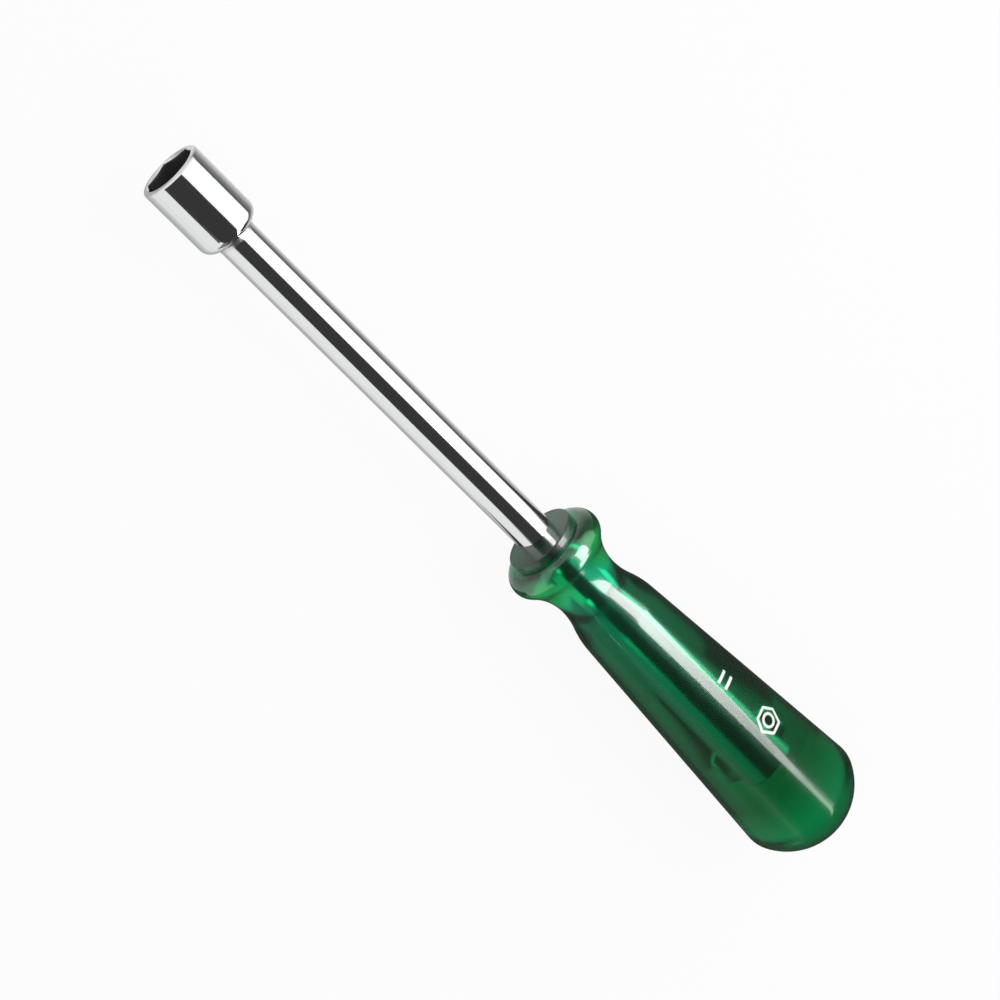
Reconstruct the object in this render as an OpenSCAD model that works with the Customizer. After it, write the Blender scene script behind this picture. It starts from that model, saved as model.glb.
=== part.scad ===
// Nut driver: a hexagon socket brazed on a round bar, with a translucent moulded handle.
// The axis of the tool is +X, from the mouth of the socket at the origin to the butt of the handle.
// Two flats of the hexagon face +Y and -Y, and two corners point up and down.

/* [Nut socket] */
// Width across the flats of the nut that it turns
nut_af = 11; // [8:0.5:12]
// Play of the nut in the hexagon, across the flats
nut_play = 0.2; // [0.05:0.05:0.3]
// Depth of the hexagon from the mouth
hex_depth = 12; // [8:0.5:14]
// Depth of the lead-in chamfer at the mouth
lead_in = 0.8; // [0.3:0.1:2]
// Land between the corners of the hexagon and the edge of the lead-in
lead_land = 0.1; // [0.05:0.05:0.3]
// Room behind the hexagon for the end of a stud
stud_room = 2; // [1:0.5:4]
// Outer diameter of the socket
socket_d = 15.4; // [15:0.1:19]
// Length of the socket
socket_len = 20.3; // [19.5:0.1:30]
// Rounding of the front edge of the socket
mouth_round = 0.8; // [0.2:0.1:0.9]
// Rounding of the rear shoulder of the socket
shoulder_round = 2.7; // [0.5:0.1:3]

/* [Blade] */
// Length of the blade from the mouth to the front of the handle
blade_len = 125; // [60:1:250]
// Diameter of the round bar
shaft_d = 9.6; // [7:0.1:10]
// Gap that the braze fills between bar and socket, on each side
braze_gap = 0.05; // [0.02:0.01:0.1]
// Height of the braze fillet on the rear face of the socket
braze_rise = 0.2; // [0.15:0.05:0.5]
// Length of the braze fillet along the bar
braze_run = 1.2; // [0.4:0.1:2]
// Thickness of the braze at the edges of its fillet
braze_edge = 0.05; // [0.02:0.01:0.1]

/* [Tang] */
// Length of the tang inside the handle
tang_len = 86.5; // [50:0.5:95]
// Chamfer on the end of the tang
tang_chamfer = 0.5; // [0.2:0.1:1.5]
// Length of the two wings that lock the tang
wing_len = 7; // [4:0.5:15]
// Width over the two wings
wing_span = 13.2; // [11.5:0.1:15]
// Thickness of the wings
wing_thick = 2.4; // [1:0.1:4]
// Slope of the ends of the wings
wing_slope = 40; // [30:1:60]
// Distance from the wings to the end of the tang
wing_back = 1.5; // [0.5:0.5:10]
// Clearance of the tang in the handle, on each side
tang_play = 0.03; // [0.01:0.01:0.1]

/* [Handle nose] */
// Diameter of the boss that the bar comes out of
boss_d = 18.2; // [14:0.1:20]
// Length of the boss
boss_len = 2.2; // [1:0.1:5]
// Rounding of the front edge of the boss
boss_round = 0.5; // [0.2:0.1:0.9]
// Diameter of the collar
collar_d = 26; // [22:0.1:32]
// Rounding of the collar
collar_round = 3.6; // [2:0.1:5]
// Diameter of the waist
waist_d = 17; // [15:0.1:19]
// Distance from the front of the handle to the waist
waist_at = 18.1; // [14:0.1:21]
// Distance from the front of the handle to the start of the tapered grip
grip_at = 30.3; // [28:0.1:40]

/* [Handle grip] */
// Length of the handle
handle_len = 112.8; // [105:0.1:140]
// Largest diameter of the grip, where the taper meets the dome
grip_d = 32.2; // [28:0.1:38]
// Angle of the taper to the axis
grip_taper = 4.33; // [2:0.01:5]
// Height of the domed butt
dome_rise = 11.9; // [6:0.1:14]
// Rounding between the taper and the dome
rim_round = 6; // [1:0.5:8]

/* [Hidden] */
$fn = 96;
// How far a chord of an outline may lie inside its arc
arc_error = 0.008;
// Narrowest flat that is left beside a rounded edge
least_land = 0.1;
// How far a cut runs past the face that it opens
past = 1;

hex_af = nut_af + nut_play;
hex_corner_r = hex_af / sqrt(3);
lead_r = hex_corner_r + lead_land;
shaft_r = shaft_d / 2;
socket_r = socket_d / 2;
socket_bore_r = shaft_r + braze_gap;
mouth_edge_r = socket_r - min(mouth_round, socket_r - lead_r - least_land);
rear_edge_r = socket_r - min(shoulder_round, socket_r - socket_bore_r - braze_rise);
shaft_front = hex_depth + stud_room;
shaft_end = blade_len + tang_len;

boss_r = boss_d / 2;
collar_r = collar_d / 2;
collar_front_round = min(collar_round, collar_r - boss_r);
collar_at = boss_len + collar_front_round;
waist_r = waist_d / 2;
along_axis = [1, 0];
outward = [0, 1];
taper_dir = [cos(grip_taper), sin(grip_taper)];
taper_in = [sin(grip_taper), -cos(grip_taper)];
rim_at = handle_len - dome_rise;
grip_front_r = grip_d / 2 - (rim_at - grip_at) * tan(grip_taper);
dome_r = (pow(grip_d / 2, 2) + pow(dome_rise, 2)) / (2 * dome_rise);

// Points on an arc from one angle to another, without the first point where the last arc ended on it
function arc(centre, radius, from, to, first = 0) =
    let (steps = max(2, ceil(abs(to - from) / (2 * acos(1 - arc_error / abs(radius))))))
    [for (i = [first:steps])
        let (a = from + (to - from) * i / steps)
        centre + radius * [cos(a), sin(a)]];

// Angle of a direction
function bearing(v) = atan2(v[1], v[0]);

// Radius of the circle that meets a line at a point, on the side of the normal there, and
// touches a given circle from outside, so that the two make one smooth S
function s_curve_radius(centre, radius, point, normal) =
    let (v = point - centre)
    (v * v - radius * radius) / (2 * (radius - v * normal));

// Radius of the circle that leaves a point square to the normal there and passes through another
// point. It is negative where the circle lies on the side away from the normal.
function arc_radius(point, normal, other) =
    let (v = other - point)
    (v * v) / (2 * (v * normal));

// Point where two arcs meet that run smoothly from one point and direction to another
function arcs_meet(from, leaving, to, arriving) =
    let (
        v = to - from,
        along = v * (leaving + arriving),
        turn = 2 * (1 - leaving * arriving),
        reach = v * v / (along + sqrt(along * along + turn * (v * v))))
    (from + to + reach * (leaving - arriving)) / 2;

// Outline of the socket, as distance from the mouth and radius
function socket_outline() =
    let (front = socket_r - mouth_edge_r, rear = socket_r - rear_edge_r)
    concat(
        [[0, 0]],
        arc([front, mouth_edge_r], front, 180, 90),
        arc([socket_len - rear, rear_edge_r], rear, 90, 0),
        [[socket_len, 0]]);

// Section of the braze fillet: a hollow curve from the rear face of the socket down to the bar
function braze_outline() =
    let (top = socket_bore_r + braze_rise, end = socket_len + braze_run)
    concat(
        [[socket_len, socket_bore_r], [socket_len, top]],
        [for (a = [0:15:90])
            [end - (braze_run - braze_edge) * cos(a), top - (braze_rise - braze_edge) * sin(a)]],
        [[end, socket_bore_r]]);

// Boss and collar, as distance from the front of the handle and radius
function nose_outline() =
    concat(
        [[0, 0]],
        arc([boss_round, boss_r - boss_round], boss_round, 180, 90),
        [[boss_len, boss_r]],
        arc([collar_at, collar_r - collar_front_round], collar_front_round, 180, 90));

// Hollow waist between the collar and the grip, made of arcs that run smoothly into each other
function waist_outline() =
    let (
        collar = [collar_at, collar_r - collar_round],
        waist = [waist_at, waist_r],
        front_r = s_curve_radius(collar, collar_round, waist, outward),
        front = waist + front_r * outward,
        down = bearing(front - collar),
        shoulder = [grip_at, grip_front_r],
        meet = arcs_meet(waist, along_axis, shoulder, taper_dir),
        hollow_r = arc_radius(waist, outward, meet),
        hollow = waist + hollow_r * outward,
        swell_r = arc_radius(shoulder, taper_in, meet),
        swell = shoulder + swell_r * taper_in)
    concat(
        arc(collar, collar_round, 90, down, 1),
        arc(front, front_r, down - 180, -90, 1),
        arc(hollow, hollow_r, -90, bearing((meet - hollow) / hollow_r), 1),
        arc(swell, swell_r, bearing((meet - swell) / swell_r), 90 + grip_taper, 1));

// Rounded end of the taper and the domed butt
function butt_outline() =
    let (
        dome = [handle_len - dome_r, 0],
        rim = [rim_at, grip_d / 2] + rim_round * taper_in - dome,
        along = rim * taper_dir,
        back = -along + sqrt(along * along - rim * rim + pow(dome_r - rim_round, 2)),
        centre = dome + rim + back * taper_dir,
        blend = bearing(centre - dome))
    concat(
        arc(centre, rim_round, 90 + grip_taper, blend),
        arc(dome, dome_r, blend, 0, 1));

// Turns an outline of distance and radius about the axis of the tool
module turned(outline) {
    rotate([0, 90, 0])
        rotate_extrude()
            polygon([for (p = outline) [p[1], p[0]]]);
}

// Round bar along the axis of the tool
module bar(from, to, radius) {
    translate([from, 0, 0])
        rotate([0, 90, 0])
            cylinder(h = to - from, r = radius);
}

// The part of the bar inside the handle, grown by a clearance on all its sides
module tang(front, grow) {
    crest = wing_span / 2 + grow;
    root = shaft_r - wing_thick / 2;
    slope_len = (wing_span / 2 - root) / tan(wing_slope);
    root_end = shaft_end - wing_back + grow;
    crest_end = root_end - slope_len;
    crest_start = crest_end - wing_len - 2 * grow;
    root_start = crest_start - slope_len;
    bar(front, shaft_end - tang_chamfer, shaft_r + grow);
    translate([shaft_end - tang_chamfer, 0, 0])
        rotate([0, 90, 0])
            cylinder(h = tang_chamfer, r1 = shaft_r + grow, r2 = shaft_r + grow - tang_chamfer);
    translate([0, 0, -wing_thick / 2 - grow])
        linear_extrude(wing_thick + 2 * grow)
            for (side = [-1, 1])
                polygon([
                    [root_start, 0],
                    [root_start, side * root],
                    [crest_start, side * crest],
                    [crest_end, side * crest],
                    [root_end, side * root],
                    [root_end, 0]]);
}

// Hexagon socket: a turned sleeve with a broached hexagon and a bore for the bar
module socket() {
    color("gainsboro")
        difference() {
            turned(socket_outline());
            translate([-past, 0, 0])
                rotate([0, 90, 0])
                    cylinder(h = hex_depth + past, r = hex_corner_r, $fn = 6);
            rotate([0, 90, 0])
                cylinder(h = lead_in, r1 = lead_r, r2 = hex_af / 2);
            bar(hex_depth - past, socket_len + past, socket_bore_r);
        }
}

// Round bar with its winged tang
module shaft() {
    color("silver")
        union() {
            bar(shaft_front, blade_len, shaft_r);
            tang(blade_len, 0);
        }
}

// Ring of braze metal behind the socket
module braze_fillet() {
    color("lightgray")
        turned(braze_outline());
}

// Translucent handle, moulded round the tang
module handle() {
    color([0.04, 0.42, 0.2, 0.7])
        difference() {
            translate([blade_len, 0, 0])
                turned(concat(nose_outline(), waist_outline(), butt_outline()));
            tang(blade_len - past, tang_play);
        }
}

socket();
shaft();
braze_fillet();
handle();
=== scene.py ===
"""Nut driver with a clear green handle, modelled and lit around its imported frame."""

from math import atan2, ceil, cos, pi, radians, sin, sqrt, tan, tau

import bpy
from bpy.props import FloatProperty, FloatVectorProperty, PointerProperty, StringProperty
from mathutils import Matrix, Vector


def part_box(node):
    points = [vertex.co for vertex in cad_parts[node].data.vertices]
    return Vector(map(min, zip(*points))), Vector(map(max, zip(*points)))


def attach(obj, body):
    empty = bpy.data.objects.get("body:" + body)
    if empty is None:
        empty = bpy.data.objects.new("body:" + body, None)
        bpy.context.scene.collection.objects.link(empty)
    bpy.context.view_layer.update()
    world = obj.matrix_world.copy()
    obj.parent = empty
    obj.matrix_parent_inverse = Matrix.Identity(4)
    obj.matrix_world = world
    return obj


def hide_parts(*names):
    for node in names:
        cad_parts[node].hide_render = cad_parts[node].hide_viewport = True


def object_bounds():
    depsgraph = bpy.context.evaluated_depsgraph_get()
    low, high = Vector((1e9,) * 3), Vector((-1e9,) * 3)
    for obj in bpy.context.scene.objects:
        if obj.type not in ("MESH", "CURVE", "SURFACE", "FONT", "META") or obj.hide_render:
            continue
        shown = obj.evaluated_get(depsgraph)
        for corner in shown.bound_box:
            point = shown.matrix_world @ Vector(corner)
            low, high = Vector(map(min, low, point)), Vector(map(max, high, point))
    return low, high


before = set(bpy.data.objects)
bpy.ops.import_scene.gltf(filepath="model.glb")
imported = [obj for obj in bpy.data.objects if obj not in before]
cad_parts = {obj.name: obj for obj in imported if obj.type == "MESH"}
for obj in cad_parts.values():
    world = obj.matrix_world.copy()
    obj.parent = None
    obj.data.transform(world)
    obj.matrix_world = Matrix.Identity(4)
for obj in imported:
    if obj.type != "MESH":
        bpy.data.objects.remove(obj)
CAD_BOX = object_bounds()

bl_info = {
    "name": "Nut driver",
    "version": (1, 0, 0),
    "blender": (4, 5, 0),
    "location": "View3D > Sidebar > Nut driver",
    "description": "Models a nut driver with a clear green handle and sets up its studio",
    "category": "Mesh",
}

BODY = "root"

# Sides of a turned piece, of a hexagon and of the circle in the nut mark
ROUND = 192
HEXAGON = 6
MARK_ROUND = 64
# Longest step along an arc of an outline, and the most that one step may turn
ARC_STEP = 0.0008
ARC_TURN = radians(6)
# Points closer than this are one point
MERGE = 1e-7
# Edges that turn more than this stay sharp
SHARP = radians(32)
# A face looks along an axis where this much of its normal does
FACING = 0.9
# How far a cutter runs past the face that it opens
PAST = 0.001
# Strips that a flat print is cut into on each side of its middle, so that it can follow the grip
STRIPS = 12

# Sockets of a Mix node that mixes two colours
MIX_FACTOR = 0
MIX_LOW = 6
MIX_HIGH = 7
MIX_RESULT = 2
# Rays that show a thing in metal or through plastic, and all rays that show it
MIRROR_RAYS = ("Is Glossy Ray", "Is Transmission Ray")
SHOWN_RAYS = ("Is Camera Ray", *MIRROR_RAYS)

# Size and sides of the floor, its gap under the tool, where it fades to white, and its colour
FLOOR_RADIUS = 6
FLOOR_SIDES = 96
FLOOR_GAP = 0.0002
FLOOR_FADE = (0.25, 0.9)
PAPER = (0.92, 0.92, 0.92)
# Width of the camera's sensor in millimetres, and the nearest thing that the camera sees
SENSOR = 36
NEAREST = 0.01

# Colours of the cards: plain, and the light that a green handle spreads inside its nose
WHITE = (1.0, 1.0, 1.0)
GLOW = (0.5, 1.0, 0.6)
# Brightness of the cards that darken or whiten a polished skin, where 1 is white
DARK = 0.045
DIM = 0.05
PALE = 0.95
# Axes that the brightness of a card may fade along: the tool's own axis and the one across it
ALONG = 0
ACROSS = 1
# Height of a low card over the lowest point of the tool, and of one that lies over other cards
CARD_LIFT = 0.0001
UPPER_LIFT = 0.0002
# Turns of the key light about the axis, in degrees from straight above towards +Y
KEY_TURNS = (20, 92)


def length(name, description, default):
    """A size in metres that a user can change."""
    return FloatProperty(
        name=name, description=description, default=default, min=0, unit="LENGTH", precision=5
    )


def angle(name, description, degrees):
    """An angle that a user can change, given in degrees."""
    return FloatProperty(name=name, description=description, default=radians(degrees), subtype="ANGLE")


def share(name, description, default):
    """A plain number that a user can change."""
    return FloatProperty(name=name, description=description, default=default, min=0, precision=3)


def colour(name, description, default):
    """A colour that a user can change."""
    return FloatVectorProperty(
        name=name, description=description, default=default, min=0, max=1, subtype="COLOR"
    )


class SocketSizes(bpy.types.PropertyGroup):
    """Sizes of the hexagon socket that its box doesn't give."""

    hexagon: length("Hexagon", "Width across the flats of the hexagon", 0.0112)
    hexagon_depth: length("Hexagon depth", "Depth of the hexagon from the mouth", 0.012)
    lead_in: length("Lead-in", "Depth of the chamfer that guides the nut in", 0.0008)
    lead_land: length("Lead-in land", "From the corners of the hexagon to the edge of the lead-in", 0.0001)
    mouth_round: length("Front rounding", "Rounding of the front edge", 0.0008)
    mouth_wear: length("Mouth wear", "How far the worn plate reaches from the mouth", 0.0024)
    shoulder_round: length("Shoulder rounding", "Rounding of the rear shoulder", 0.00265)
    barrel_land: length("Barrel land", "Narrow ring that keeps the barrel straight beside a rounding", 0.0002)
    edge_break: length("Edge break", "Width of the broken edges inside the mouth", 0.00008)
    # Where the plate ends, the painted near-black shade of the hollow begins
    plate_end: length("Plate end", "From the axis to the end of the plate, at the flats", 0.00588)


class BladeSizes(bpy.types.PropertyGroup):
    """Sizes of the round bar, its wings and the braze behind the socket."""

    tang_chamfer: length("Tang chamfer", "Chamfer on the end of the tang", 0.0005)
    wing_length: length("Wing length", "Length of the crest of the two wings", 0.007)
    wing_thickness: length("Wing thickness", "Thickness of the two wings", 0.0024)
    wing_slope: angle("Wing slope", "Slope of the ends of the wings", 40)
    wing_back: length("Wing to end", "Distance from the wings to the end of the tang", 0.0015)
    wing_edge: length("Wing edge", "Rounding of the forged edges of the wings", 0.0009)
    braze_rise: length("Braze rise", "Height of the braze on the rear face of the socket", 0.00025)
    braze_edge: length("Braze edge", "Thickness of the braze where it runs out on the bar", 0.00003)


class HandleSizes(bpy.types.PropertyGroup):
    """Sizes of the turned outline of the handle."""

    boss: length("Boss", "Diameter of the boss that the bar comes out of", 0.0182)
    boss_length: length("Boss length", "Length of the boss", 0.0022)
    boss_round: length("Boss rounding", "Rounding of the front edge of the boss", 0.0005)
    collar: length("Collar", "Diameter of the collar", 0.026)
    collar_round: length("Collar rounding", "Rounding of the collar", 0.0036)
    waist: length("Waist", "Diameter of the waist", 0.017)
    waist_at: length("Waist place", "From the front of the handle to the waist", 0.0181)
    grip: length("Grip", "Diameter where the taper meets the dome", 0.0322)
    grip_at: length("Grip place", "From the front of the handle to the start of the taper", 0.0303)
    taper: angle("Taper", "Angle of the taper to the axis", 4.33)
    dome: length("Dome", "Height of the domed butt", 0.0119)
    rim_round: length("Rim rounding", "Rounding between the taper and the dome", 0.006)
    bedding: length("Bedding", "How far the plastic lies inside the skin of the tang", 0.0001)


class PrintSizes(bpy.types.PropertyGroup):
    """Sizes and place of the white print on the grip."""

    number: StringProperty(name="Number", description="Width of the nut in millimetres", default="11")
    number_height: length("Number height", "Height of the number", 0.0034)
    number_weight: length("Number weight", "How much bolder than the plain typeface each edge is", 0.00018)
    number_at: length("Number place", "From the mouth to the middle of the number", 0.1813)
    mark_width: length("Mark width", "Width of the nut mark across its flats", 0.0066)
    mark_hole: length("Mark hole", "Diameter of the circle in the nut mark", 0.00396)
    mark_line: length("Mark line", "Width of the lines of the nut mark", 0.0007)
    mark_at: length("Mark place", "From the mouth to the middle of the nut mark", 0.1972)
    turn: angle("Turn", "Turn of the print about the axis, from the top towards +Y", 34)
    ink: length("Ink", "Thickness of the ink", 0.00003)


class Finishes(bpy.types.PropertyGroup):
    """Colours of the materials."""

    chrome: colour("Chrome", "Colour of the polished chrome plate", (0.77, 0.775, 0.78))
    # Near-black colour of the socket's hollow: painted shade over its bare steel
    hollow_shade: colour("Hollow", "Colour of the unplated steel deep in the socket", (0.02, 0.02, 0.02))
    braze: colour("Braze", "Colour of the braze metal", (0.74, 0.735, 0.72))
    ink: colour("Ink", "Colour of the print", (0.93, 0.95, 0.93))
    skin: colour("Skin", "Tint of the plastic's skin where it is clean", (0.08, 1.0, 0.64))
    smear: colour("Smear", "Tint of the plastic's skin where it is smeared", (0.06, 0.97, 0.6))
    boss: colour("Boss", "Tint of the dull boss", (0.004, 0.02, 0.014))
    plastic: colour("Plastic", "What one unit of plastic lets through", (0.04, 0.84, 0.73))
    plastic_depth: share("Plastic depth", "Absorption of the plastic, per metre", 250)
    plastic_haze: share("Plastic haze", "Roughness of the plastic under its polished skin", 0.2)
    plastic_ior: share("Plastic index", "Index of refraction of the plastic", 1.48)


class StageSettings(bpy.types.PropertyGroup):
    """The studio and the camera. The camera's place comes from the ellipses of the mouth and the nose."""

    camera_lens: share("Lens", "Focal length in millimetres", 103.93)
    camera_distance: length("Camera distance", "From the camera to the plane of the mouth", 0.6215)
    camera_tilt: angle("Camera tilt", "Turn of the view from straight above towards the mouth", 24.9)
    camera_roll: angle("Camera roll", "Slope of the axis of the tool in the picture", 44.8)
    mouth_left: length("Mouth to the left", "From the middle of the picture to the mouth", 0.0714)
    mouth_up: length("Mouth upwards", "From the middle of the picture to the mouth", 0.0711)
    ambient: share("Ambient light", "Strength of the light from all sides", 0.62)
    key: share("Key light", "Brightness of the softbox, where 1 is white", 1.5)
    floor_white: share("Floor white", "How much of the floor's shadow is lifted, where 1 is all", 0.92)
    floor_mirrored: share("Floor in mirrors", "How much of it is lifted in metal and through plastic", 0.3)


class Link:
    """An output of a shader node. Arithmetic on it adds Math nodes, and add() adds any other node."""

    def __init__(self, tree, socket=None):
        self.tree = tree
        self.socket = socket

    def add(self, kind, settings=None, inputs=None, output=0):
        """Adds a node, sets it up and feeds its sockets with values or links."""
        node = self.tree.nodes.new(kind)
        for name, value in (settings or {}).items():
            setattr(node, name, value)
        for name, value in (inputs or {}).items():
            if isinstance(value, Link):
                self.tree.links.new(value.socket, node.inputs[name])
            else:
                node.inputs[name].default_value = value
        return Link(self.tree, node.outputs[output] if node.outputs else None)

    def maths(self, operation, *values):
        """A Math node on values and links."""
        return self.add("ShaderNodeMath", {"operation": operation}, dict(enumerate(values)))

    def smooth(self, low, high):
        """0 below low and 1 above high, with a soft step between them."""
        return self.add(
            "ShaderNodeMapRange",
            {"interpolation_type": "SMOOTHSTEP"},
            {"Value": self, "From Min": low, "From Max": high},
        )

    def __add__(self, other):
        return self.maths("ADD", self, other)

    def __sub__(self, other):
        return self.maths("SUBTRACT", self, other)

    def __rsub__(self, other):
        return self.maths("SUBTRACT", other, self)

    def __mul__(self, other):
        return self.maths("MULTIPLY", self, other)

    def __pow__(self, other):
        return self.maths("POWER", self, other)

    __radd__ = __add__
    __rmul__ = __mul__


def new_material(name):
    """A material without nodes, and the start of its links."""
    material = bpy.data.materials.new(name)
    material.use_nodes = True
    material.node_tree.nodes.clear()
    return material, Link(material.node_tree)


def place_on_piece(links):
    """The place on the piece, in metres, and its three coordinates."""
    place = links.add("ShaderNodeTexCoord", output="Object")
    split = [links.add("ShaderNodeSeparateXYZ", None, {"Vector": place}, axis) for axis in "XYZ"]
    return place, split


def noise(place, scale, detail=3.0):
    """Soft random values over the piece, about 0 to 1, with scale waves to the metre."""
    return place.add("ShaderNodeTexNoise", None, {"Vector": place, "Scale": scale, "Detail": detail}, "Fac")


def rings(x, scale):
    """Random values that change along the axis alone, as the marks of turning and polishing do."""
    return x.add("ShaderNodeTexNoise", {"noise_dimensions": "1D"}, {"W": x, "Scale": scale}, "Fac")


def tint(factor, low, high):
    """A colour between two colours, each of them fixed or linked."""
    low, high = (end if isinstance(end, Link) else (*end, 1) for end in (low, high))
    inputs = {MIX_FACTOR: factor, MIX_LOW: low, MIX_HIGH: high}
    return factor.add("ShaderNodeMix", {"data_type": "RGBA"}, inputs, MIX_RESULT)


def bump(height, distance):
    """A normal from a height of 0 to 1 that stands for a distance in metres."""
    return height.add("ShaderNodeBump", None, {"Height": height, "Distance": distance})


def scaled(rgb, factor):
    """A colour times a number."""
    return tuple(c * factor for c in rgb)


def lead_in(sizes):
    """Radius of the lead-in cone at the mouth, and how much the cone narrows for each unit of depth."""
    edge = sizes.hexagon / sqrt(3) + sizes.lead_land
    return edge, (edge - sizes.hexagon / 2) / sizes.lead_in


def bare_and_shaded_hollow(split, sizes):
    """1 where the steel is bare and painted near-black as the shade of the hollow: behind the lead-in, and on
    it inside a hexagon with bowed sides.
    """
    fade_start, fade_end, plate_fade = 0.00005, 0.0004, 0.0001
    x, y, z = split
    edge, flare = lead_in(sizes)
    radius = (y * y + z * z) ** 0.5
    deep = (radius + flare * x - edge).smooth(fade_start, fade_end)
    side = y.maths("ABSOLUTE", y)
    slant = cos(pi / 3) * side + sin(pi / 3) * z.maths("ABSOLUTE", z)
    bowed = 0.5 * (side.maths("MAXIMUM", side, slant) + radius)
    inner = 1 - bowed.smooth(sizes.plate_end, sizes.plate_end + plate_fade)
    return deep.maths("MAXIMUM", deep, inner) * radius.maths("LESS_THAN", radius, edge)


def chrome_plate(name, finish, socket=None):
    """Polished chrome with fine polishing rings. Given a socket's sizes, its hollow is bare, and painted
    near-black as its shade.
    """
    gloss, ring_haze, cloud_haze = 0.035, 0.03, 0.03
    bare_haze, worn_haze = 0.4, 0.06
    cloud_shade = 0.97
    wave_height, ring_height = 0.00002, 0.02
    material, links = new_material(name)
    place, split = place_on_piece(links)
    x = split[0]
    polish = rings(x, scale=5200.0)
    cloud = noise(place, scale=190.0)
    shade = tint(cloud, scaled(finish.chrome, cloud_shade), finish.chrome)
    roughness = gloss + ring_haze * polish + cloud_haze * cloud
    metal = 1.0
    if socket:
        bare = bare_and_shaded_hollow(split, socket)
        worn = 1 - x.smooth(0, socket.mouth_wear)
        # The hollow's near-black colour is painted shade; its roughness and lack of metal are the bare steel
        shade = tint(bare, shade, finish.hollow_shade)
        roughness = roughness + bare_haze * bare + worn_haze * worn
        metal = 1 - bare
    wave = noise(place, scale=70.0, detail=1.0)
    surface = links.add(
        "ShaderNodeBsdfPrincipled",
        None,
        {
            "Base Color": shade,
            "Metallic": metal,
            "Roughness": roughness,
            "Normal": bump(wave + ring_height * polish, wave_height),
        },
    )
    links.add("ShaderNodeOutputMaterial", None, {"Surface": surface})
    return material


def braze_metal(finish):
    """Plated braze with the ripple of metal that has run and set."""
    gloss, ripple_haze = 0.14, 0.2
    ripple_shade = 0.85
    ripple_height = 0.00002
    material, links = new_material("braze")
    place, _ = place_on_piece(links)
    ripple = noise(place, scale=900.0)
    surface = links.add(
        "ShaderNodeBsdfPrincipled",
        None,
        {
            "Base Color": tint(ripple, scaled(finish.braze, ripple_shade), finish.braze),
            "Metallic": 1.0,
            "Roughness": gloss + ripple_haze * ripple,
            "Normal": bump(ripple, ripple_height),
        },
    )
    links.add("ShaderNodeOutputMaterial", None, {"Surface": surface})
    return material


def clear_green(finish, boss_end):
    """Polished clear plastic that is green through its whole depth. The boss in front of boss_end is dull."""
    dull_from, dull_to = boss_end + 0.0004, boss_end - 0.0002
    clean_haze, smear_haze = 0.8, 0.4
    boss_dullness = 0.3
    wave_height = 0.00004
    material, links = new_material("clear_green")
    place, (x, _, _) = place_on_piece(links)
    smear = noise(place, scale=260.0)
    wave = noise(place, scale=45.0, detail=1.0)
    boss = 1 - x.smooth(dull_to, dull_from)
    skin = tint(smear, finish.smear, finish.skin)
    surface = links.add(
        "ShaderNodeBsdfPrincipled",
        None,
        {
            "Base Color": tint(boss, skin, finish.boss),
            "Transmission Weight": 1.0,
            "IOR": finish.plastic_ior,
            "Specular IOR Level": 0.0,
            "Roughness": finish.plastic_haze * (clean_haze + smear_haze * smear + boss),
            "Coat Weight": 1 - boss_dullness * boss,
            "Coat Roughness": 0.02,
            "Normal": bump(wave, wave_height),
        },
    )
    depth = links.add(
        "ShaderNodeVolumeAbsorption", None, {"Color": (*finish.plastic, 1), "Density": finish.plastic_depth}
    )
    links.add("ShaderNodeOutputMaterial", None, {"Surface": surface, "Volume": depth})
    return material


def white_ink(finish):
    """Screen print, a little uneven and thin in spots."""
    gloss, grain_haze = 0.35, 0.2
    grain_shade = 0.9
    grain_height = 0.000008
    material, links = new_material("white_ink")
    place, _ = place_on_piece(links)
    grain = noise(place, scale=2600.0)
    surface = links.add(
        "ShaderNodeBsdfPrincipled",
        None,
        {
            "Base Color": tint(grain, scaled(finish.ink, grain_shade), finish.ink),
            "Roughness": gloss + grain_haze * grain,
            "Normal": bump(grain, grain_height),
        },
    )
    links.add("ShaderNodeOutputMaterial", None, {"Surface": surface})
    return material


def bearing(v):
    """Angle of a direction in the plane of an outline."""
    return atan2(v.y, v.x)


def heading(turn):
    """Direction at an angle in the plane of an outline."""
    return Vector((cos(turn), sin(turn)))


class Lathe:
    """Draws an outline with one vertex, as distance along the axis and radius, and turns it into a solid."""

    def __init__(self, name, x, r):
        bpy.ops.object.select_all(action="DESELECT")
        bpy.ops.mesh.primitive_plane_add(enter_editmode=True)
        bpy.ops.mesh.select_mode(type="VERT")
        bpy.ops.mesh.merge(type="CENTER")
        bpy.ops.transform.translate(value=(x, 0, r))
        self.piece = bpy.context.object
        self.piece.name = self.piece.data.name = name
        self.at = Vector((x, r))

    def line(self, x, r):
        """Draws a straight line to a point."""
        step = Vector((x, r)) - self.at
        bpy.ops.mesh.extrude_vertices_move(TRANSFORM_OT_translate={"value": (step.x, 0, step.y)})
        self.at = Vector((x, r))

    def arc(self, centre, to):
        """Draws an arc about a centre, the short way round, until it lies at an angle from there."""
        arm = self.at - centre
        turn = (to - bearing(arm) + pi) % tau - pi
        steps = max(2, ceil(abs(turn) / min(ARC_TURN, ARC_STEP / arm.length)))
        bpy.ops.mesh.spin(steps=steps, angle=turn, center=(centre.x, 0, centre.y), axis=(0, 1, 0))
        self.at = centre + arm.length * heading(to)

    def turned(self):
        """Turns the outline about the axis of the tool and returns the closed solid."""
        bpy.ops.mesh.select_all(action="SELECT")
        bpy.ops.mesh.spin(steps=ROUND, angle=tau, center=(0, 0, 0), axis=(1, 0, 0))
        bpy.ops.mesh.select_all(action="SELECT")
        bpy.ops.mesh.remove_doubles(threshold=MERGE)
        bpy.ops.mesh.normals_make_consistent(inside=False)
        bpy.ops.object.mode_set(mode="OBJECT")
        return self.piece


def pick(piece):
    """Makes a piece the only one that operators act on."""
    bpy.ops.object.select_all(action="DESELECT")
    piece.select_set(True)
    bpy.context.view_layer.objects.active = piece


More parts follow.
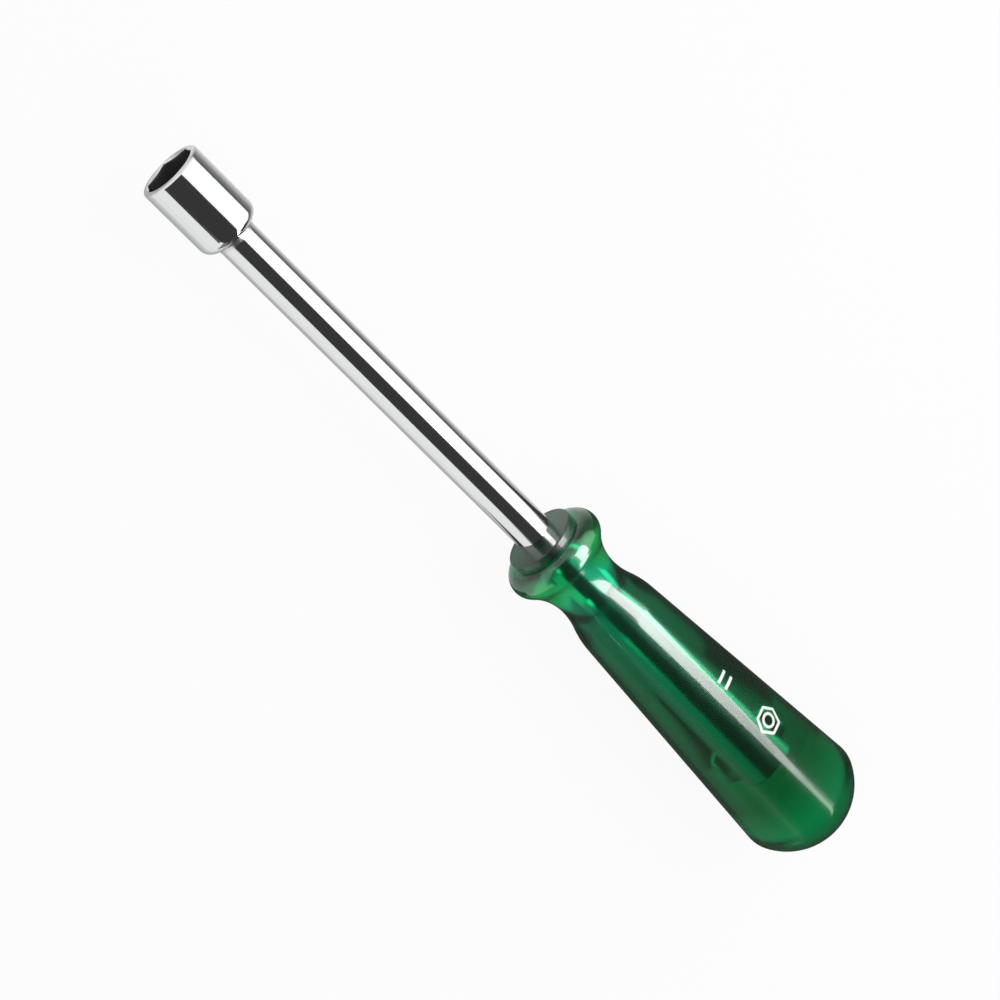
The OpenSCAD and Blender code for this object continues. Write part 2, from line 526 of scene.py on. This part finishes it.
def modify(piece, kind, **settings):
    """Adds a modifier to a piece and applies it."""
    pick(piece)
    modifier = piece.modifiers.new(kind.title(), kind)
    for name, value in settings.items():
        setattr(modifier, name, value)
    bpy.ops.object.modifier_apply(modifier=modifier.name)


def combine(piece, other, operation):
    """Adds another solid to a piece or cuts it away, and deletes the other."""
    modify(piece, "BOOLEAN", object=other, operation=operation, solver="EXACT")
    bpy.data.objects.remove(other)


def dress(piece, material, slot, *nodes):
    """Shades a finished piece, gives it its material and seats it in the frame."""
    pick(piece)
    bpy.ops.object.shade_smooth_by_angle(angle=SHARP)
    piece.data.materials.clear()
    piece.data.materials.append(material)
    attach(piece, BODY)
    if nodes:
        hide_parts(*nodes)


def along_axis():
    """Rotation of a primitive that turns its own axis from +Z to +X, and its first corner to +Z."""
    return (pi / 2, 0, pi / 2)


def bar_radius():
    """Radius of the round bar. Its wings widen its box sideways only."""
    low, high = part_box("shaft")
    return (high.z - low.z) / 2


class NUTDRIVER_OT_socket(bpy.types.Operator):
    """Turn the sleeve of the socket and broach its hexagon"""

    bl_idname = "nutdriver.socket"
    bl_label = "Socket"

    def execute(self, context):
        sizes = context.scene.nut_driver_socket
        low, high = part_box("socket")
        outer = high.y
        bore = bar_radius()
        front, rear = sizes.mouth_round, sizes.shoulder_round
        blank = Lathe("hexagon_socket", sizes.hexagon_depth - PAST, 0)
        blank.line(sizes.hexagon_depth - PAST, bore)
        blank.line(high.x, bore)
        blank.line(high.x, outer - rear)
        blank.arc(Vector((high.x - rear, outer - rear)), pi / 2)
        blank.line(high.x - rear - sizes.barrel_land, outer)
        blank.line(low.x + front + sizes.barrel_land, outer)
        blank.line(low.x + front, outer)
        blank.arc(Vector((low.x + front, outer - front)), pi)
        blank.line(low.x, 0)
        piece = blank.turned()

        bpy.ops.mesh.primitive_cylinder_add(
            vertices=HEXAGON,
            radius=sizes.hexagon / sqrt(3),
            depth=sizes.hexagon_depth + PAST,
            location=((sizes.hexagon_depth - PAST) / 2, 0, 0),
            rotation=along_axis(),
        )
        combine(piece, bpy.context.object, "DIFFERENCE")

        edge, flare = lead_in(sizes)
        outside, inside = PAST, 2 * PAST
        bpy.ops.mesh.primitive_cone_add(
            vertices=ROUND,
            radius1=edge + flare * outside,
            radius2=edge - flare * inside,
            depth=outside + inside,
            location=((inside - outside) / 2, 0, 0),
            rotation=along_axis(),
        )
        combine(piece, bpy.context.object, "DIFFERENCE")
        modify(piece, "BEVEL", width=sizes.edge_break, segments=2, limit_method="ANGLE", angle_limit=SHARP)
        plate = chrome_plate("socket_chrome", context.scene.nut_driver_finishes, sizes)
        dress(piece, plate, "chrome_plate", "socket")
        return {"FINISHED"}


class NUTDRIVER_OT_bar(bpy.types.Operator):
    """Turn the round bar and forge the two wings of its tang"""

    bl_idname = "nutdriver.bar"
    bl_label = "Bar"

    def execute(self, context):
        sizes = context.scene.nut_driver_blade
        low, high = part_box("shaft")
        radius = bar_radius()
        outline = Lathe("winged_bar", low.x, 0)
        outline.line(low.x, radius)
        outline.line(high.x - sizes.tang_chamfer, radius)
        outline.line(high.x, radius - sizes.tang_chamfer)
        outline.line(high.x, 0)
        piece = outline.turned()

        root = radius - sizes.wing_thickness / 2
        rise = high.y - root
        crest_length = sizes.wing_length
        root_length = crest_length + 2 * rise / tan(sizes.wing_slope)
        bpy.ops.mesh.primitive_cube_add(
            size=1,
            location=(high.x - sizes.wing_back - root_length / 2, 0, 0),
            scale=(root_length, 2 * root, sizes.wing_thickness),
        )
        wings = bpy.context.object
        bpy.ops.object.transform_apply(location=False, rotation=False, scale=True)
        bpy.ops.object.mode_set(mode="EDIT")
        bpy.ops.mesh.select_mode(type="FACE")
        for side in (-1, 1):
            bpy.ops.mesh.select_all(action="DESELECT")
            bpy.ops.object.mode_set(mode="OBJECT")
            for face in wings.data.polygons:
                face.select = face.normal.y * side > FACING
            bpy.ops.object.mode_set(mode="EDIT")
            bpy.ops.mesh.extrude_region_move(TRANSFORM_OT_translate={"value": (0, side * rise, 0)})
            bpy.ops.transform.resize(value=(crest_length / root_length, 1, 1))
        bpy.ops.object.mode_set(mode="OBJECT")
        modify(wings, "BEVEL", width=sizes.wing_edge, segments=3, limit_method="ANGLE", angle_limit=SHARP)
        combine(piece, wings, "UNION")
        dress(piece, chrome_plate("bar_chrome", context.scene.nut_driver_finishes), "chrome_plate", "shaft")
        return {"FINISHED"}


class NUTDRIVER_OT_braze(bpy.types.Operator):
    """Turn the hollow fillet of braze between the socket and the bar"""

    bl_idname = "nutdriver.braze"
    bl_label = "Braze"

    def execute(self, context):
        sizes = context.scene.nut_driver_blade
        low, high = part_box("braze_fillet")
        bar = bar_radius()
        inside = bar - sizes.braze_rise / 2
        fall = sizes.braze_rise - sizes.braze_edge
        run = high.x - low.x
        hollow = (run * run + fall * fall) / (2 * fall)
        ring = Lathe("braze_ring", low.x, inside)
        ring.line(low.x, bar + sizes.braze_rise)
        ring.arc(Vector((high.x, bar + sizes.braze_edge + hollow)), -pi / 2)
        ring.line(high.x, inside)
        ring.line(low.x, inside)
        dress(ring.turned(), braze_metal(context.scene.nut_driver_finishes), "braze", "braze_fillet")
        return {"FINISHED"}


def meeting_point(start, leaving, end, arriving):
    """Point where two arcs meet that run smoothly from one point and direction to another."""
    v = end - start
    along = v.dot(leaving + arriving)
    turn = 2 * (1 - leaving.dot(arriving))
    reach = v.dot(v) / (along + sqrt(along * along + turn * v.dot(v)))
    return (start + end + reach * (leaving - arriving)) / 2


def arc_centre(point, normal, other):
    """Centre of the circle that leaves a point square to its normal and passes through another point."""
    v = other - point
    return point + normal * (v.dot(v) / (2 * v.dot(normal)))


class NUTDRIVER_OT_handle(bpy.types.Operator):
    """Turn the handle from the boss to the domed butt"""

    bl_idname = "nutdriver.handle"
    bl_label = "Handle"

    def execute(self, context):
        sizes = context.scene.nut_driver_handle
        front, end = (corner.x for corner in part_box("handle"))
        bed = bar_radius() - sizes.bedding
        tang_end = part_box("shaft")[1].x - 2 * context.scene.nut_driver_blade.tang_chamfer
        outward = Vector((0, 1))
        boss, collar, waist, grip = (d / 2 for d in (sizes.boss, sizes.collar, sizes.waist, sizes.grip))

        outline = Lathe("clear_handle", tang_end, 0)
        outline.line(tang_end, bed)
        outline.line(front, bed)
        outline.line(front, boss - sizes.boss_round)
        outline.arc(Vector((front + sizes.boss_round, boss - sizes.boss_round)), pi / 2)
        groove = front + sizes.boss_length
        outline.line(groove, boss)

        collar_front = min(sizes.collar_round, collar - boss)
        collar_x = groove + collar_front
        outline.line(groove, collar - collar_front)
        outline.arc(Vector((collar_x, collar - collar_front)), pi / 2)

        ring = Vector((collar_x, collar - sizes.collar_round))
        waist_point = Vector((front + sizes.waist_at, waist))
        v = waist_point - ring
        fall = (v.dot(v) - sizes.collar_round**2) / (2 * (sizes.collar_round - v.y))
        hollow = waist_point + fall * outward
        outline.arc(ring, bearing(hollow - ring))
        outline.arc(hollow, -pi / 2)

        slope = heading(sizes.taper)
        inward = Vector((slope.y, -slope.x))
        rim_x = end - sizes.dome
        grip_x = front + sizes.grip_at
        shoulder = Vector((grip_x, grip - (rim_x - grip_x) * tan(sizes.taper)))
        meet = meeting_point(waist_point, Vector((1, 0)), shoulder, slope)
        hollow = arc_centre(waist_point, outward, meet)
        swell = arc_centre(shoulder, inward, meet)
        outline.arc(hollow, bearing(meet - hollow))
        outline.arc(swell, bearing(shoulder - swell))

        dome_radius = (grip**2 + sizes.dome**2) / (2 * sizes.dome)
        dome = Vector((end - dome_radius, 0))
        rim = Vector((rim_x, grip)) + sizes.rim_round * inward - dome
        along = rim.dot(slope)
        back = sqrt(along**2 - rim.dot(rim) + (dome_radius - sizes.rim_round) ** 2) - along
        rim_centre = dome + rim + back * slope
        rim_start = rim_centre - sizes.rim_round * inward
        outline.line(rim_start.x, rim_start.y)
        outline.arc(rim_centre, bearing(rim_centre - dome))
        outline.arc(dome, 0)
        plastic = clear_green(context.scene.nut_driver_finishes, groove)
        dress(outline.turned(), plastic, "clear_green", "handle")
        return {"FINISHED"}


class NUTDRIVER_OT_print(bpy.types.Operator):
    """Print the number of the size and a plain nut mark on the grip"""

    bl_idname = "nutdriver.print"
    bl_label = "Print"

    def execute(self, context):
        sizes = context.scene.nut_driver_print
        ink = white_ink(context.scene.nut_driver_finishes)
        self.wrap(context, self.write_number(sizes), sizes.number_at, ink)
        self.wrap(context, self.draw_mark(sizes), sizes.mark_at, ink)
        return {"FINISHED"}

    def write_number(self, sizes):
        """The number of the size, as a flat mesh."""
        bpy.ops.object.select_all(action="DESELECT")
        bpy.ops.object.text_add()
        text = bpy.context.object
        text.data.body = sizes.number
        text.data.align_x = "CENTER"
        text.data.align_y = "CENTER"
        bpy.context.view_layer.update()
        text.data.size = sizes.number_height / text.dimensions.y
        text.data.offset = sizes.number_weight
        bpy.ops.object.convert(target="MESH")
        number = bpy.context.object
        number.name = number.data.name = "size_number"
        bpy.ops.object.mode_set(mode="EDIT")
        bpy.ops.mesh.select_all(action="SELECT")
        bpy.ops.mesh.remove_doubles(threshold=MERGE)
        bpy.ops.object.mode_set(mode="OBJECT")
        return number

    def draw_mark(self, sizes):
        """A hexagon and a circle in it, both as lines: the plain sign of a nut."""
        bpy.ops.object.select_all(action="DESELECT")
        mark = self.draw_ring(HEXAGON, sizes.mark_width / sqrt(3), sizes.mark_line)
        self.draw_ring(MARK_ROUND, sizes.mark_hole / 2, sizes.mark_line)
        mark.select_set(True)
        bpy.context.view_layer.objects.active = mark
        bpy.ops.object.join()
        mark.name = mark.data.name = "nut_mark"
        return mark

    def draw_ring(self, sides, radius, line):
        """A flat line round a polygon, selected on its own."""
        bpy.ops.mesh.primitive_circle_add(vertices=sides, radius=radius, fill_type="NGON")
        bpy.ops.object.mode_set(mode="EDIT")
        bpy.ops.mesh.select_all(action="SELECT")
        bpy.ops.mesh.inset(thickness=line)
        bpy.ops.mesh.delete(type="ONLY_FACE")
        bpy.ops.object.mode_set(mode="OBJECT")
        return bpy.context.object

    def wrap(self, context, flat, x, material):
        """Lays a flat print on the grip, its foot towards the top of the tool, and gives it thickness."""
        sizes = context.scene.nut_driver_print
        taper = context.scene.nut_driver_handle.taper
        height = max(flat.dimensions.x, flat.dimensions.y)
        bpy.ops.object.mode_set(mode="EDIT")
        for axis in (Vector((1, 0, 0)), Vector((0, 1, 0))):
            for i in range(1 - STRIPS, STRIPS):
                bpy.ops.mesh.select_all(action="SELECT")
                bpy.ops.mesh.bisect(plane_co=axis * height * i / (2 * STRIPS), plane_no=axis)
        bpy.ops.object.mode_set(mode="OBJECT")
        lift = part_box("handle")[1].y
        slant = Matrix.Rotation(-sizes.turn, 3, "X") @ Matrix.Rotation(-taper, 3, "Y")
        flat.rotation_euler = slant.to_euler()
        flat.location = (x, lift * sin(sizes.turn), lift * cos(sizes.turn))
        modify(
            flat,
            "SHRINKWRAP",
            target=bpy.data.objects["clear_handle"],
            wrap_method="PROJECT",
            use_project_z=True,
            use_negative_direction=True,
            use_positive_direction=False,
            offset=sizes.ink / 2,
        )
        modify(flat, "SOLIDIFY", thickness=sizes.ink, offset=0)
        bpy.ops.object.transform_apply(location=True, rotation=True, scale=True)
        bpy.ops.object.mode_set(mode="EDIT")
        bpy.ops.mesh.select_all(action="SELECT")
        bpy.ops.mesh.normals_make_consistent(inside=False)
        bpy.ops.object.mode_set(mode="OBJECT")
        pick(flat)
        bpy.ops.object.shade_smooth_by_angle(angle=SHARP)
        flat.data.materials.append(material)
        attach(flat, BODY)


def rays(links, kinds):
    """1 for rays of the given kinds."""
    seen = links.add("ShaderNodeLightPath", output=kinds[0])
    for kind in kinds[1:]:
        seen = seen.maths("MAXIMUM", seen, links.add("ShaderNodeLightPath", output=kind))
    return seen


def paint_world(stage):
    """White where it is seen, directly, in metal or through plastic, and a softer light from all sides."""
    world = bpy.data.worlds.new("studio")
    bpy.context.scene.world = world
    world.use_nodes = True
    world.node_tree.nodes.clear()
    links = Link(world.node_tree)
    shown = rays(links, SHOWN_RAYS)
    seen = links.add("ShaderNodeBackground", None, {"Color": (*WHITE, 1), "Strength": 1.0})
    light = links.add("ShaderNodeBackground", None, {"Color": (*WHITE, 1), "Strength": stage.ambient})
    mixed = links.add("ShaderNodeMixShader", None, {0: shown, 1: light, 2: seen})
    links.add("ShaderNodeOutputWorld", None, {"Surface": mixed})


def lay_floor(stage):
    """A pale floor under the tool that fades to white and keeps a soft shadow."""
    bpy.ops.object.select_all(action="DESELECT")
    low, high = CAD_BOX
    bpy.ops.mesh.primitive_circle_add(
        vertices=FLOOR_SIDES,
        radius=FLOOR_RADIUS,
        fill_type="NGON",
        location=((low.x + high.x) / 2, 0, low.z - FLOOR_GAP),
    )
    floor = bpy.context.object
    floor.name = "floor"
    material, links = new_material("pale_floor")
    _, (x, y, _) = place_on_piece(links)
    far = ((x * x + y * y) ** 0.5).smooth(*FLOOR_FADE)
    direct = rays(links, SHOWN_RAYS[:1]) * stage.floor_white
    shown = rays(links, SHOWN_RAYS)
    mirrored = rays(links, MIRROR_RAYS) * stage.floor_mirrored
    lifted = direct + mirrored
    lifted = lifted + (shown - lifted) * far
    paper = links.add("ShaderNodeBsdfDiffuse", None, {"Color": (*PAPER, 1)})
    white = links.add("ShaderNodeEmission", None, {"Strength": 1.0})
    mixed = links.add("ShaderNodeMixShader", None, {0: lifted, 1: paper, 2: white})
    links.add("ShaderNodeOutputMaterial", None, {"Surface": mixed})
    floor.data.materials.append(material)


def set_camera(stage):
    """The camera of the photograph, found from where the mouth of the socket lies in the picture."""
    bpy.ops.object.select_all(action="DESELECT")
    bpy.ops.object.camera_add()
    camera = bpy.context.object
    camera.data.lens = stage.camera_lens
    camera.data.sensor_width = SENSOR
    back = Vector((-sin(stage.camera_tilt), 0, cos(stage.camera_tilt)))
    along = Vector((cos(stage.camera_tilt), 0, sin(stage.camera_tilt)))
    side = Vector((0, 1, 0))
    right = cos(stage.camera_roll) * along + sin(stage.camera_roll) * side
    up = cos(stage.camera_roll) * side - sin(stage.camera_roll) * along
    place = stage.mouth_left * right - stage.mouth_up * up + stage.camera_distance * back
    camera.matrix_world = Matrix.Translation(place) @ Matrix((right, up, back)).transposed().to_4x4()
    camera.data.clip_start = NEAREST
    bpy.context.scene.camera = camera


def round_axis(x, distance, turn, facing):
    """A point on a flat thing that faces the axis: turns count from straight above towards +Y, in degrees."""
    reach = distance / cos(radians(turn - facing))
    return Vector((x, reach * sin(radians(turn)), reach * cos(radians(turn))))


def beside(distance, span, turns, end_turns=None):
    """Corners of a flat card beside the tool, over a span of the axis and between two turns about it."""
    facing = sum(turns) / 2
    ends = tuple(zip(span, (turns, end_turns or turns)))
    return [round_axis(x, distance, turn[side], facing) for side in (0, 1) for x, turn in ends]


def low_down(span, sides, lift=CARD_LIFT):
    """Corners of a flat card just above the floor."""
    return [Vector((x, y, CAD_BOX[0].z + lift)) for y in sides for x in span]


def upright(x, sides, heights):
    """Corners of a flat card across the axis."""
    return [Vector((x, y, z)) for z in heights for y in sides]


def add_softbox(name, distance, span, turns, radiance):
    """A rectangular lamp of an even brightness that faces the axis."""
    bpy.ops.object.select_all(action="DESELECT")
    bpy.ops.object.light_add(type="AREA")
    lamp = bpy.context.object
    lamp.name = name
    lamp.data.shape = "RECTANGLE"
    lamp.data.size = span[1] - span[0]
    lamp.data.size_y = 2 * distance * tan(radians(turns[1] - turns[0]) / 2)
    lamp.data.energy = radiance * pi * lamp.data.size * lamp.data.size_y
    facing = sum(turns) / 2
    lamp.location = round_axis(sum(span) / 2, distance, facing, facing)
    lamp.rotation_euler = (-radians(facing), 0, 0)
    lamp.visible_camera = lamp.visible_glossy = lamp.visible_transmission = False


def add_card(name, corners, brightness, fade_to=None, fade=ALONG, hue=WHITE, mirrored=True, through=True):
    """A flat card that only mirrors and clear things show. Its brightness may fade along one axis."""
    bpy.ops.object.select_all(action="DESELECT")
    bpy.ops.mesh.primitive_plane_add()
    card = bpy.context.object
    card.name = name
    for vertex, corner in zip(card.data.vertices, corners):
        vertex.co = corner
    material, links = new_material(name)
    shade = (*hue, 1)
    peak = brightness
    if fade_to is not None:
        peak = max(brightness, fade_to)
        places = [corner[fade] for corner in corners]
        _, split = place_on_piece(links)
        share_of_way = (split[fade] - min(places)) * (1 / (max(places) - min(places)))
        shade = tint(share_of_way, scaled(hue, brightness / peak), scaled(hue, fade_to / peak))
    glow = links.add("ShaderNodeEmission", None, {"Color": shade, "Strength": peak})
    links.add("ShaderNodeOutputMaterial", None, {"Surface": glow})
    card.data.materials.append(material)
    card.visible_camera = card.visible_diffuse = card.visible_shadow = False
    card.visible_glossy = mirrored
    card.visible_transmission = through


def mirror_card(name, corners, brightness, **settings):
    """A card that shows only in polished skins: the chrome, the braze and the outside of the plastic."""
    add_card(name, corners, brightness, through=False, **settings)


def inner_card(name, corners, brightness, **settings):
    """A card that shows only through the plastic, and so in the tang inside it."""
    add_card(name, corners, brightness, mirrored=False, **settings)


def set_bright_cards():
    """Cards that make the white stripes on the bar and the handle, and one that lights the tang."""
    close, closer, near_neck, far = 0.15, 0.149, 0.05, 0.49
    mirror_card("key_card", beside(close, span=(-0.03, 0.2), turns=KEY_TURNS), brightness=1.3)
    mirror_card(
        "hot_card",
        beside(closer, span=(0.02, 0.2), turns=(27, 68), end_turns=(25, 60)),
        brightness=10.0,
    )
    mirror_card(
        "wedge_card",
        beside(close, span=(0.2, 0.3), turns=(20.5, 58), end_turns=(20.5, 24)),
        brightness=8.0,
        fade_to=4.5,
    )
    mirror_card("line_card", beside(close, span=(0.28, 0.5), turns=(20, 27)), brightness=4.0, fade_to=1.5)
    mirror_card(
        "neck_card",
        beside(near_neck, span=(0.165, 0.222), turns=(19, 58), end_turns=(20.5, 23)),
        brightness=10.0,
        fade_to=4.0,
    )
    inner_card("accent_card", beside(far, span=(0.36, 0.48), turns=(-58, -38)), brightness=1.7, hue=GLOW)


def set_dark_cards():
    """Cards that make the dark bands on the bar and keep the sides of the handle deep in colour."""
    far, nearer, near_bar = 0.5, 0.49, 0.06
    beyond = 2.0
    handle_span = (0.1455, 0.26)
    add_card("overhead_card", beside(far, span=(-0.15, 0.85), turns=(-47, 19.5)), DARK)
    mirror_card("nose_card", beside(near_bar, span=(0.01, 0.125), turns=(-43, 17)), DARK)
    mirror_card("socket_card", beside(nearer, span=(-0.15, 0.174), turns=(-56, -40)), DARK)
    mirror_card("right_card", beside(distance=0.6, span=(0.28, beyond), turns=(34, 115)), brightness=0.08)
    mirror_card("left_card", beside(distance=0.3, span=(0.285, beyond), turns=(-120, -47)), brightness=0.2)
    mirror_card("right_near_card", beside(distance=0.041, span=handle_span, turns=(62, 125)), brightness=0.06)
    mirror_card("left_near_card", beside(distance=0.04, span=handle_span, turns=(-125, -45)), brightness=0.12)
    mirror_card("end_card", upright(x=0.7, sides=(-0.5, 0.5), heights=(-0.1, 0.5)), DIM)


def set_mats():
    """Low cards that shade the lower sides of the bar, and darken the floor that the handle mirrors."""
    front, nose, butt, beyond = -0.05, 0.132, 0.235, 2.0
    blade = (front, nose)
    mirror_card("handle_mat", low_down(span=(nose, beyond), sides=(-0.06, 0.4)), DIM)
    mirror_card(
        "right_near_mat", low_down(blade, sides=(0.012, 0.045)), brightness=0.8, fade_to=0.25, fade=ACROSS
    )
    mirror_card(
        "right_mid_mat", low_down(blade, sides=(0.045, 0.1)), brightness=0.25, fade_to=0.15, fade=ACROSS
    )
    mirror_card("right_far_mat", low_down(blade, sides=(0.1, 0.5)), brightness=0.14)
    mirror_card("left_near_mat", low_down(blade, sides=(-0.02, -0.002)), brightness=0.5)
    mirror_card("left_mid_mat", low_down(blade, sides=(-0.06, -0.02)), PALE, fade_to=0.5, fade=ACROSS)
    mirror_card("left_side_mat", low_down(span=(front, butt), sides=(-0.2, -0.06)), PALE)
    mirror_card("butt_mat", low_down(span=(butt, beyond), sides=(-0.2, -0.06)), DIM)
    mirror_card("left_far_mat", low_down(span=(front, beyond), sides=(-6, -0.2)), PALE)


def set_inner_cards():
    """Cards that light the plastic and the tang in it: brightest at the nose, and darker towards the butt."""
    far = 0.5
    front, behind = -0.4, 0.9
    right, left = (20, 100), (-140, -47)
    fade_start, fade_end = 0.46, 0.52
    bright, dim = 0.8, 0.12
    inner_card("tang_right", beside(far, (front, fade_start), right), bright)
    inner_card("tang_right_fade", beside(far, (fade_start, fade_end), right), bright, fade_to=dim)
    inner_card("tang_right_end", beside(far, (fade_end, behind), right), dim)

    neck, swell, grip, cap = 0.145, 0.153, 0.185, 0.222
    wide = (-0.3, 0.3)
    left_edge = -0.016
    inner_card("tang_line", low_down(span=(0.15, 0.245), sides=(0.03, 0.3), lift=UPPER_LIFT), brightness=2.0)
    inner_card("left_glow", low_down(span=(grip, 0.4), sides=(-0.4, left_edge)), brightness=0.27)
    inner_card("nose_left", beside(far, span=(front, 0.4), turns=left), brightness=0.9, hue=GLOW)
    inner_card("tang_left", beside(far, span=(0.4, behind), turns=left), brightness=0.36)
    inner_card("front_screen", upright(x=-0.35, sides=(-0.6, 0.6), heights=(-0.1, 0.6)), brightness=0.1)
    inner_card("end_screen", upright(x=0.8, sides=(-0.8, 0.8), heights=(-0.1, 0.8)), brightness=0.25)
    inner_card("nose_under", low_down(span=(-0.1, neck), sides=wide), brightness=0.9, hue=GLOW)
    inner_card("neck_under", low_down(span=(neck, swell), sides=wide), brightness=0.9, fade_to=0.35)
    inner_card("grip_under", low_down(span=(swell, grip), sides=wide), brightness=0.35, fade_to=0.25)
    inner_card("right_under", low_down(span=(grip, cap), sides=(0, 0.2)), brightness=0.3)
    inner_card("left_under", low_down(span=(grip, 0.209), sides=(left_edge, 0)), brightness=0.05)
    inner_card("cap_under", low_down(span=(cap, 0.27), sides=(left_edge, -0.0025)), brightness=0.1)


class NUTDRIVER_OT_stage(bpy.types.Operator):
    """Set up the floor, the light, the cards and the camera"""

    bl_idname = "nutdriver.stage"
    bl_label = "Stage"

    def execute(self, context):
        stage = context.scene.nut_driver_stage
        context.scene.view_settings.view_transform = "Standard"
        paint_world(stage)
        lay_floor(stage)
        set_camera(stage)
        add_softbox("key", distance=0.5, span=(0.0, 0.4), turns=KEY_TURNS, radiance=stage.key)
        set_bright_cards()
        set_dark_cards()
        set_mats()
        set_inner_cards()
        return {"FINISHED"}


class NUTDRIVER_PT_panel(bpy.types.Panel):
    """Sizes, finishes and steps of the nut driver"""

    bl_idname = "NUTDRIVER_PT_panel"
    bl_label = "Nut driver"
    bl_space_type = "VIEW_3D"
    bl_region_type = "UI"
    bl_category = "Nut driver"

    def draw(self, context):
        for operator, settings in STEPS:
            box = self.layout.box()
            box.operator(operator.bl_idname)
            for name in settings.__annotations__:
                box.prop(getattr(context.scene, SETTINGS[settings]), name)
        finishes = self.layout.box()
        for name in Finishes.__annotations__:
            finishes.prop(context.scene.nut_driver_finishes, name)


SETTINGS = {
    SocketSizes: "nut_driver_socket",
    BladeSizes: "nut_driver_blade",
    HandleSizes: "nut_driver_handle",
    PrintSizes: "nut_driver_print",
    Finishes: "nut_driver_finishes",
    StageSettings: "nut_driver_stage",
}
STEPS = (
    (NUTDRIVER_OT_socket, SocketSizes),
    (NUTDRIVER_OT_bar, BladeSizes),
    (NUTDRIVER_OT_braze, BladeSizes),
    (NUTDRIVER_OT_handle, HandleSizes),
    (NUTDRIVER_OT_print, PrintSizes),
    (NUTDRIVER_OT_stage, StageSettings),
)
CLASSES = (*SETTINGS, *(operator for operator, _ in STEPS), NUTDRIVER_PT_panel)


def register():
    """Registers the classes and hangs the settings on the scene."""
    for cls in CLASSES:
        bpy.utils.register_class(cls)
    for settings, name in SETTINGS.items():
        setattr(bpy.types.Scene, name, PointerProperty(type=settings))


def unregister():
    """Takes the settings and the classes away again."""
    for name in SETTINGS.values():
        delattr(bpy.types.Scene, name)
    for cls in reversed(CLASSES):
        bpy.utils.unregister_class(cls)


def main():
    """Builds the pieces and the stage in order."""
    register()
    for operator, _ in STEPS:
        group, name = operator.bl_idname.split(".")
        getattr(getattr(bpy.ops, group), name)()


if __name__ == "__main__":
    main()
